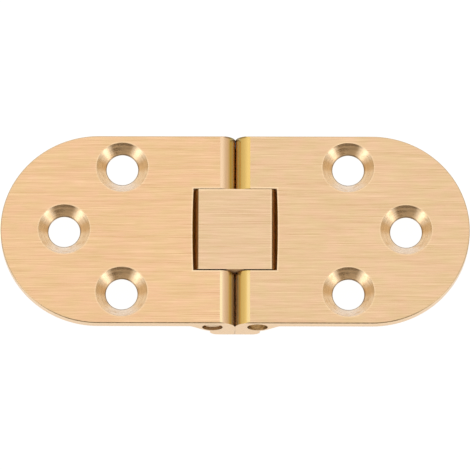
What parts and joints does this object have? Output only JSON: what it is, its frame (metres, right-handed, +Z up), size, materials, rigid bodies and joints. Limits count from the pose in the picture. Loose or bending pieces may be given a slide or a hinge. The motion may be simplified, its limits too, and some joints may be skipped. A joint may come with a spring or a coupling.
{
  "type": "flap hinge",
  "caption": "Flat brass hinge with two round-ended, countersunk leaves joined by a flush square link on parallel pins, so one leaf folds right over onto the other.",
  "frame": {"origin": "middle of the seam between the leaves, on the plane that the knuckles' feet stand on", "axes": "+X along the open hinge, towards the right leaf; +Y along the pins; +Z up, out of the countersunk faces"},
  "size_m": [0.08, 0.0334, 0.0067],
  "materials": {
    "leaf_brass": "brushed along the hinge's length",
    "link_brass": "brushed along the hinge's length",
    "pin_brass": "drawn rod with cut ends"
  },
  "bodies": {
    "left_side": {"left_leaf": "leaf_brass", "left_pin": "pin_brass"},
    "link": {"link": "link_brass"},
    "right_side": {"right_leaf": "leaf_brass", "right_pin": "pin_brass"}
  },
  "joints": [
    {"name": "left_pivot", "type": "hinge", "parent": "left_side", "child": "link", "pos_m": [-0.00383, 0, 0.00425], "axis": [0, -1, 0], "range_deg": [0, 90]},
    {"name": "right_pivot", "type": "hinge", "parent": "link", "child": "right_side", "pos_m": [0.00383, 0, 0.00425], "axis": [0, -1, 0], "range_deg": [0, 90]}
  ]
}
